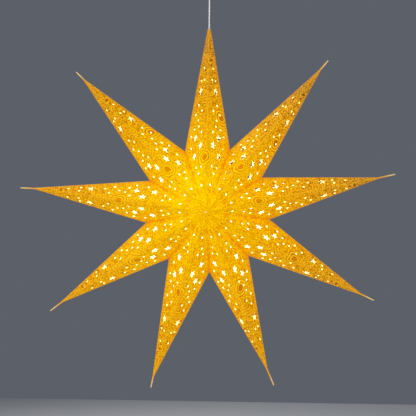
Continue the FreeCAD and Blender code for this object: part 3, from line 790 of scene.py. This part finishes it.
def map_card(piece, number):
    """Sort the faces into printed and bare card and write the flat coordinates."""
    data = piece.data
    panels = arm_panels(number)
    knots = KNOTS[number - 1]
    while data.uv_layers:
        data.uv_layers.remove(data.uv_layers[0])
    names = ("flat_mm", "edges_mm", "knot_one_mm", "knot_two_mm")
    for name in names:
        data.uv_layers.new(name=name)
    data.materials.clear()
    data.materials.append(card_print)
    data.materials.append(card_inside)
    maps = [data.uv_layers[name].data for name in names]
    printed = 0
    for face in data.polygons:
        facing = [abs(face.normal.dot(panel.outward)) for panel in panels]
        near = [abs((face.center - panel.hub).dot(panel.outward)) for panel in panels]
        best = min(range(4), key=lambda index: near[index] / NEAR_UNIT - facing[index])
        panel = panels[best]
        outside = face.normal.dot(panel.outward) > PRINTED_FACING and near[best] < PRINTED_NEAR
        cut_edge = facing[best] < EDGE_FACING and near[best] < EDGE_NEAR
        face.material_index = 0 if outside or cut_edge else 1
        face.use_smooth = False
        printed += outside
        for loop in face.loop_indices:
            point = data.vertices[data.loops[loop].vertex_index].co
            across, along = panel.flat(point)
            maps[0][loop].uv = (across, along)
            maps[1][loop].uv = (panel.fold_distance(point), panel.outline_distance(point))
            maps[2][loop].uv = (across - knots[0][0], along - knots[0][1])
            maps[3][loop].uv = (across - knots[1][0], along - knots[1][1])
    return printed


print("knots:", sum(knot != FAR_OFF for pair in KNOTS for knot in pair))

# %% [markdown]
# Now the nine arms are made, one after the other, in the same way: copy, punch, map and declare. The
# punches are three times as long as the card is thick, so they pass it fully and reach no other sheet.

# %% Make the arms


def make_arm(number):
    piece = merged_copy(f"arm_{number}", f"star_arm_{number}")
    markers = hole_markers(number)
    modifier = piece.modifiers.new("punch", "NODES")
    modifier.node_group = punching
    set_inputs(modifier, {
        "Hole places": markers,
        "Hole diameter": HOLE_DIAMETER,
        "Punch length": 3 * CARD_THICK,
        "Card": card_print,
    })
    made_plain(piece)
    bpy.data.objects.remove(markers)
    printed = map_card(piece, number)
    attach(piece, "root")
    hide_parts(f"arm_{number}")
    print(piece.name, "faces:", len(piece.data.polygons), "printed:", printed)


for number in range(1, ARMS + 1):
    make_arm(number)

# %% [markdown]
# The sheath of the cord is soft white PVC, extruded and slightly glossy. The lampholder, the stopper
# and the ceiling fitting are moulded plastic. Real mouldings are never quite even: a faint mottle in
# the gloss and a very slight unevenness of the surface keep them from looking like plaster.

# %% Plastics


def plastic(name, code, roughness, mottle_mm, bump_mm=0.02):
    material, tree, shader = new_material(name)
    place = add_node(tree, "ShaderNodeTexCoord").outputs["Object"]
    cloud = add_node(tree, "ShaderNodeTexNoise", {
        "Vector": place, "Scale": 1000 / mottle_mm, "Detail": 2.0,
    })
    gloss = add_node(tree, "ShaderNodeMapRange", {
        "Value": cloud,
        "From Min": 0.3,
        "From Max": 0.7,
        "To Min": roughness - 0.06,
        "To Max": roughness + 0.06,
    })
    tone = add_node(tree, "ShaderNodeMapRange", {"Value": cloud, "To Min": 0.97, "To Max": 1.02})
    colour = add_node(tree, "ShaderNodeVectorMath", {0: linear(code)[:3], "Scale": tone}, operation="SCALE")
    bump = add_node(tree, "ShaderNodeBump", {"Strength": 0.3, "Distance": bump_mm * MM, "Height": cloud})
    fill_inputs(tree, shader, {"Base Color": colour, "Roughness": gloss, "IOR": 1.5, "Normal": bump})
    return material


# PVC is soft and a little waxy, PBT takes lamp heat and looks chalky, ABS comes glossy from its mould.
cord_sheath = plastic("Extruded white PVC", "F6F7F8", 0.4, 6)
holder_plastic = plastic("Moulded white PBT", "EDEBE4", 0.45, 3)
fitting_plastic = plastic("Glossy white ABS", "F3F2EE", 0.25, 12)
block_plastic = plastic("Pale grey polyamide", "CFCFCB", 0.5, 2)
vitrite = plastic("Black vitrite glass", "161618", 0.15, 2, 0.01)
for finish in (cord_sheath, holder_plastic, fitting_plastic, block_plastic, vitrite):
    print("moulded:", finish.name)

# %% [markdown]
# The contacts are drawn brass sheet, which is bright and a little streaky from the press, and the
# screw base of the bulb is the same sheet with a thin coat of nickel. The insert that holds the
# contacts is steatite, an unglazed white ceramic with a fine sandy grain.

# %% Metals and ceramic


def two_toned(name, dark, pale, grain, stretch=1.0):
    """A new material with a fine noise that wavers between two tones of one colour."""
    material, tree, shader = new_material(name)
    place = add_node(tree, "ShaderNodeTexCoord").outputs["Object"]
    drawn = add_node(tree, "ShaderNodeMapping", {"Vector": place, "Scale": (1, 1, stretch)})
    noise = add_node(tree, "ShaderNodeTexNoise", {"Vector": drawn, "Scale": grain, "Detail": 2.0})
    colour = add_node(tree, "ShaderNodeMix", {
        "Factor": noise, "A": linear(dark), "B": linear(pale),
    }, data_type="RGBA")
    return material, tree, shader, noise, colour


def drawn_sheet(name, dark, pale):
    # Streaks 0.4 mm wide run along the way the sheet was drawn.
    material, tree, shader, streaks, colour = two_toned(name, dark, pale, 2500.0, 0.08)
    gloss = add_node(tree, "ShaderNodeMapRange", {"Value": streaks, "To Min": 0.2, "To Max": 0.4})
    fill_inputs(tree, shader, {"Base Color": colour, "Roughness": gloss, "Metallic": 1.0})
    return material


def steatite():
    # Grains of 0.25 mm.
    material, tree, shader, grain, colour = two_toned("Unglazed steatite", "D8D2C4", "EFEBE0", 4000.0)
    bump = add_node(tree, "ShaderNodeBump", {"Strength": 0.4, "Distance": 0.0001, "Height": grain})
    fill_inputs(tree, shader, {"Base Color": colour, "Roughness": 0.7, "Normal": bump})
    return material


brass = drawn_sheet("Drawn brass sheet", "C8A04C", "E2C070")
nickel = drawn_sheet("Nickel-plated brass sheet", "A8A498", "CFCBC0")
ceramic = steatite()
print("metals and ceramic:", [finish.name for finish in (brass, nickel, ceramic)])

# %% [markdown]
# The bulb is opal glass with a warm white lamp inside. Opal glass spreads the light evenly, so the
# globe is almost as bright at its edge as in its middle, and its surface keeps a clear gloss. Real
# glass with a lamp in it would be slow to render and look the same, so the globe's surface shines.

# %% Lit glass
GLASS_TOP = -0.315
GLASS_FOOT = -0.374


def opal_glass():
    material, tree, shader = new_material("Lit opal glass")
    place = add_node(tree, "ShaderNodeTexCoord").outputs["Object"]
    axes = add_node(tree, "ShaderNodeSeparateXYZ", {0: place})
    up = add_node(tree, "ShaderNodeMapRange", {
        "Value": axes.outputs["Z"], "From Min": GLASS_FOOT, "From Max": GLASS_TOP,
    })
    glow = add_node(tree, "ShaderNodeValToRGB", {"Fac": up})
    set_ramp(glow, ((0.0, "FFF8E4"), (0.6, "FFF1CC"), (1.0, "F2D8A0")))
    fill_inputs(tree, shader, {
        "Base Color": linear("F6F2E6"),
        "Emission Color": glow,
        "Emission Strength": 2.5,
        "Roughness": 0.12,
        "IOR": 1.5,
    })
    return material


opal = opal_glass()
print("opal glass nodes:", len(opal.node_tree.nodes))

# %% [markdown]
# The cup, the gland, the lampholder and the bulb's glass are all round about the cord, so they are
# turned: a profile goes once round the upright axis. Spin would do it too. Here a function takes the
# corners of the profile and gives each its own rounding, as a mould or a glass blower does, because
# a sharp plastic edge catches no light and looks false.

# %% Turned pieces
TURNED_SIDES = 96
ARC_STEPS = 5
SHARP_ANGLE = math.radians(32)
MERGE_DISTANCE = 1e-7


def rounded_outline(corners):
    """The points of an outline of (radius, height, rounding), with an arc at each rounded corner."""
    points = []
    for index, (radius, height, rounding) in enumerate(corners):
        corner = Vector((radius, height))
        if not rounding:
            points.append(corner)
            continue
        before = (Vector(corners[index - 1][:2]) - corner).normalized()
        after = (Vector(corners[(index + 1) % len(corners)][:2]) - corner).normalized()
        half = before.angle(after) / 2
        middle = corner + (before + after).normalized() * (rounding / math.sin(half))
        start = corner + before * (rounding / math.tan(half)) - middle
        end = corner + after * (rounding / math.tan(half)) - middle
        for step in range(ARC_STEPS + 1):
            share = step / ARC_STEPS
            points.append(middle + (start * (1 - share) + end * share).normalized() * rounding)
    return points


def closed_piece(name, places, faces, finish):
    """An object from corners and faces, with doubled corners merged and its faces turned outwards."""
    data = bpy.data.meshes.new(name)
    data.from_pydata(places, [], faces)
    work = bmesh.new()
    work.from_mesh(data)
    bmesh.ops.remove_doubles(work, verts=work.verts, dist=MERGE_DISTANCE)
    bmesh.ops.recalc_face_normals(work, faces=work.faces)
    work.to_mesh(data)
    work.free()
    data.shade_smooth()
    data.set_sharp_from_angle(angle=SHARP_ANGLE)
    data.materials.append(finish)
    return add_object(name, data)


def turned_piece(name, corners, finish, height):
    """A piece turned round the upright axis; its corners are in millimetres above the height."""
    points = rounded_outline(corners)
    count = len(points)
    places = []
    faces = []
    for side in range(TURNED_SIDES):
        turn = 2 * math.pi * side / TURNED_SIDES
        here = side * count
        there = (side + 1) % TURNED_SIDES * count
        for index, (radius, up) in enumerate(points):
            places.append((radius * MM * math.cos(turn), radius * MM * math.sin(turn), height + up * MM))
            after = (index + 1) % count
            if radius > 0 or points[after].x > 0:
                faces.append((here + index, there + index, there + after, here + after))
    return closed_piece(name, places, faces, finish)


GLOBE_HEIGHT = -0.351
GLOBE_RADIUS_MM = 22.5
glass_corners = [(0, -GLOBE_RADIUS_MM, 0)]
for degrees in range(-84, 37, 6):
    turn = math.radians(degrees)
    glass_corners.append((GLOBE_RADIUS_MM * math.cos(turn), GLOBE_RADIUS_MM * math.sin(turn), 0))
glass_corners += [(16.8, 15, 0), (8.5, 35.5, 1.5), (0, 35.5, 0)]
bulb_glass = turned_piece("bulb_glass", glass_corners, opal, GLOBE_HEIGHT)
holder_body = turned_piece("holder_body", [
    (9.5, 35.5, 0.5), (13.7, 35.5, 1.2), (13.7, 51.9, 0.4), (12.4, 51.9, 0),
    (12.4, 64, 0.4), (11.15, 64, 0), (11.15, 58, 0), (9.5, 58, 0),
], holder_plastic, GLOBE_HEIGHT)
holder_cap = turned_piece("holder_cap", [
    (12.55, 52.15, 0), (14, 52.15, 0.4), (14, 65.6, 3.0), (4.5, 77.6, 2.0), (4.5, 83.6, 1.2),
    (1.1, 83.6, 0.3), (1.1, 76, 0), (2.9, 76, 0), (10.8, 65.6, 0), (10.8, 64, 0), (12.55, 64, 0),
], holder_plastic, GLOBE_HEIGHT)
cup = turned_piece("cup", [
    (33.3, 0, 0.3), (35.3, 0, 0.5), (35.3, -3.0, 0.15), (34.9, -3.3, 0), (34.9, -4.0, 0),
    (35.3, -4.3, 0.15), (35.3, -26, 4.0), (5.0, -26, 0.5), (5.0, -24, 0), (33.3, -24, 2.0),
], fitting_plastic, 0.0)
gland = turned_piece("gland", [
    (1.1, -32, 0.3), (4.9, -32, 0.9), (7.1, -29.2, 0.8), (7.1, -26, 0.3),
    (4.9, -26, 0), (4.9, -20, 0.4), (1.1, -20, 0),
], fitting_plastic, 0.0)
for piece in (bulb_glass, holder_body, holder_cap, cup, gland):
    print(piece.name, "faces:", len(piece.data.polygons))

# %% [markdown]
# The gland is screwed tight by hand and the lampholder is held while its cap is turned, so both have
# ribs to grip. A rib is repeated work again: Geometry Nodes set slender rounded ribs on a ring, half
# sunk in the wall, and join them to the turned piece.

# %% Ribs to grip


def rib_tree():
    """Nodes that join a ring of slender upright ribs to a piece."""
    tree, given = new_tree("Ribs round a collar", {
        "Rib count": "Int",
        "Ring radius": "Float",
        "Rib radius": "Float",
        "Rib length": "Float",
        "Ring height": "Float",
        "Finish": "Material",
    })
    ring = add_node(tree, "GeometryNodeMeshCircle", {
        "Vertices": given["Rib count"], "Radius": given["Ring radius"],
    })
    lift = add_node(tree, "ShaderNodeCombineXYZ", {"Z": given["Ring height"]})
    raised = add_node(tree, "GeometryNodeTransform", {"Geometry": ring, "Translation": lift})
    ball = add_node(tree, "GeometryNodeMeshUVSphere", {
        "Segments": 8, "Rings": 6, "Radius": given["Rib radius"],
    })
    width = add_node(tree, "ShaderNodeMath", {0: given["Rib radius"], 1: 2.0}, operation="MULTIPLY")
    slender = add_node(tree, "ShaderNodeMath", {0: given["Rib length"], 1: width}, operation="DIVIDE")
    stretch = add_node(tree, "ShaderNodeCombineXYZ", {"X": 1.0, "Y": 1.0, "Z": slender})
    ribs = add_node(tree, "GeometryNodeInstanceOnPoints", {
        "Points": raised, "Instance": ball, "Scale": stretch,
    })
    joined = add_node(tree, "GeometryNodeJoinGeometry", {"Geometry": given["Geometry"]})
    tree.links.new(ribs.outputs["Instances"], joined.inputs["Geometry"])
    end_tree(tree, joined, given["Finish"])
    return tree


ribbing = rib_tree()
for piece, count, ring_mm, rib_mm, length_mm, height, finish in (
    (gland, 24, 7.1, 0.4, 2.8, -0.0276, fitting_plastic),
    (holder_body, 32, 13.55, 0.45, 13.0, GLOBE_HEIGHT + 0.0437, holder_plastic),
):
    modifier = piece.modifiers.new("ribs", "NODES")
    modifier.node_group = ribbing
    set_inputs(modifier, {
        "Rib count": count,
        "Ring radius": ring_mm * MM,
        "Rib radius": rib_mm * MM,
        "Rib length": length_mm * MM,
        "Ring height": height,
        "Finish": finish,
    })
    made_plain(piece)
    print(piece.name, "with ribs:", len(piece.data.polygons), "faces")

# %% [markdown]
# The bulb's screw base has a rolled thread with a pitch of 2.82 mm. A thread follows one rule: the
# wall moves in and out as a wave that climbs by one pitch in each turn. So the mesh is worked out
# point by point from that rule. The Screw modifier could wind a profile round the axis instead, but
# its ends would stop dead, where a rolled thread runs out smooth. The insulator above it is black
# glass, and the contact is a drop of metal on top.

# %% Screw base of the bulb
THREAD_PITCH_MM = 2.82
THREAD_RADIUS_MM = 6.43
THREAD_WAVE_MM = 0.3
THREAD_FOOT_MM = 36.6
THREAD_TOP_MM = 51.6
RUN_OUT_MM = 1.4
ROW_STEP_MM = 0.25
THREAD_SIDES = 64


def thread_radius(up, turn):
    """Radius of the rolled sheet, which runs out smooth at both ends."""
    from_foot = max(0.0, (up - THREAD_FOOT_MM) / RUN_OUT_MM)
    from_top = max(0.0, (THREAD_TOP_MM - up) / RUN_OUT_MM)
    wave = THREAD_WAVE_MM * min(1.0, from_foot, from_top)
    return THREAD_RADIUS_MM + wave * math.cos(2 * math.pi * up / THREAD_PITCH_MM - turn)


def screw_base():
    """Rings of points from the foot up; a ring with a radius of its own is plain, the others are thread."""
    rows = [(35.6, 6.6), (36.2, 6.6)]
    steps = round((THREAD_TOP_MM - THREAD_FOOT_MM) / ROW_STEP_MM)
    rows += [(THREAD_FOOT_MM + ROW_STEP_MM * step, None) for step in range(steps + 1)]
    rows += [(52.4, 5.4), (52.5, 4.6)]
    places = []
    faces = []
    for row, (up, radius) in enumerate(rows):
        for side in range(THREAD_SIDES):
            turn = 2 * math.pi * side / THREAD_SIDES
            wide = (radius if radius else thread_radius(up, turn)) * MM
            places.append((wide * math.cos(turn), wide * math.sin(turn), GLOBE_HEIGHT + up * MM))
            if row:
                here = row * THREAD_SIDES
                below = here - THREAD_SIDES
                after = (side + 1) % THREAD_SIDES
                faces.append((below + side, below + after, here + after, here + side))
    faces.append(tuple(range(THREAD_SIDES)))
    faces.append(tuple(range(len(places) - THREAD_SIDES, len(places))))
    return closed_piece("bulb_base", places, faces, nickel)


bulb_base = screw_base()
bulb_insulator = turned_piece("bulb_insulator", [
    (0, 52.5, 0), (4.7, 52.5, 0), (4.1, 53.6, 0.4), (0, 53.9, 0),
], vitrite, GLOBE_HEIGHT)
bulb_contact = turned_piece("bulb_contact", [
    (0, 53.7, 0), (3.0, 53.7, 0), (2.5, 55.3, 0.9), (0, 55.5, 0),
], nickel, GLOBE_HEIGHT)
print("screw base faces:", len(bulb_base.data.polygons))

# %% [markdown]
# Where the nine points meet at the hub they leave a small hole, at the front and at the back. On the
# real star the glue that holds the points together has run into it and dried to a dull amber plug. A
# plug is hardly wider than two millimetres, so a small turned drop is all it needs.

# %% Glue in the hub holes
# The rim of each hole lies this far in front of or behind the star's middle plane.
HUB_RIM_DEPTH = 0.0861


def dried_glue():
    # Clouds of 0.7 mm. The emission is painted lamplight, as if the bulb shone through the plug.
    material, tree, shader, cloud, colour = two_toned("Dried amber glue", "B4924C", "D8BC80", 1500.0)
    fill_inputs(tree, shader, {
        "Base Color": colour,
        "Emission Color": colour,
        "Emission Strength": 0.4,
        "Roughness": 0.3,
    })
    return material


glue = dried_glue()
hub_glue = []
for name, way in (("hub_glue_front", 1), ("hub_glue_back", -1)):
    plug = turned_piece(name, [
        (0, 0, 0), (0.7, -0.1, 0), (1.1, -0.35, 0), (1.25, -0.8, 0), (1.25, -1.6, 0), (0, -1.6, 0),
    ], glue, 0.0)
    turn = Matrix.Rotation(math.radians(90 * way), 4, "X")
    plug.data.transform(Matrix.Translation(HUB + Vector((0, -HUB_RIM_DEPTH * way, 0))) @ turn)
    hub_glue.append(plug)
print("hub glue at", [round(value, 4) for value in hub_glue[0].data.vertices[0].co])

# %% [markdown]
# Each dressed piece takes the place of its solid. The stopper, the ceramic insert, the contacts, the
# ceiling plate and the terminal block keep theirs, because a plain block, disc or bent strip is
# already what the real piece is. They only need the stuff that they are made of.

STANDS_FOR = {
    bulb_glass: "led_bulb",
    holder_body: "lampholder_body",
    holder_cap: "lampholder_cap",
    cup: "ceiling_cup",
    gland: "cup_gland",
}
for piece, node in STANDS_FOR.items():
    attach(piece, "root")
    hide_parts(node)
for piece in (bulb_base, bulb_insulator, bulb_contact, *hub_glue):
    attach(piece, "root")
FINISHES = {
    "cord_grip": holder_plastic,
    "contact_insert": ceramic,
    "screw_shell": brass,
    "centre_contact": brass,
    "ceiling_plate": fitting_plastic,
    "terminal_block": block_plastic,
}
for node, finish in FINISHES.items():
    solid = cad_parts[node]
    for place in solid.material_slots:
        place.link = "OBJECT"
        place.material = finish
    print(node, "is", finish.name)

# %% [markdown]
# The cord comes last, when the pieces at its far end exist. It is clamped in the contact insert and in
# the terminal block. The block, the plate, the cup and the gland belong to its far end, which is
# screwed to the ceiling, and the rest of the lamp hangs on it.

lamp_cord.data.materials.append(cord_sheath)
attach(lamp_cord, "root")
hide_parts("power_cord")
print(lamp_cord.name, "wears", cord_sheath.name)

# %% [markdown]
# The stage is a plain pale floor far below the star, a plain grey surround and three large soft lamps:
# a key from the left, a weaker fill from the right and one from behind for the back of the star. The
# surround is kept well below white, so that the lit card and the white cord both stand out. The view
# transform is Standard, which shows the hex colours as they are written.

# %% Stage and light
FLOOR_HALF_WIDTH = 3.0
FLOOR_HEIGHT = -1.53


def make_floor():
    corners = [
        (across * FLOOR_HALF_WIDTH, back * FLOOR_HALF_WIDTH, FLOOR_HEIGHT)
        for across, back in ((-1, -1), (1, -1), (1, 1), (-1, 1))
    ]
    data = bpy.data.meshes.new("floor")
    data.from_pydata(corners, [], [(0, 1, 2, 3)])
    floor = add_object("floor", data)
    material, tree, shader = new_material("Pale matt floor")
    fill_inputs(tree, shader, {"Base Color": linear("DADBDC"), "Roughness": 0.9})
    data.materials.append(material)


def soft_light(name, place, size, power):
    """A large square lamp that looks at the star's middle."""
    data = bpy.data.lights.new(name, "AREA")
    data.shape = "SQUARE"
    data.size = size
    data.energy = power
    light = add_object(name, data)
    light.location = place
    light.rotation_mode = "QUATERNION"
    light.rotation_quaternion = (HUB - Vector(place)).to_track_quat("-Z", "Y")
    print(name, "with", power, "watts")


make_floor()
soft_light("soft_key", (-1.3, -2.0, 0.7), 1.8, 42.0)
soft_light("soft_fill", (1.6, -1.4, 0.2), 1.6, 16.0)
soft_light("soft_back", (-0.6, 2.2, 0.6), 1.8, 42.0)
world = bpy.data.worlds.new("plain surround")
bpy.context.scene.world = world
world.use_nodes = True
world.node_tree.nodes["Background"].inputs["Color"].default_value = linear("5C6068")
world.node_tree.nodes["Background"].inputs["Strength"].default_value = 1.0
bpy.context.scene.view_settings.view_transform = "Standard"
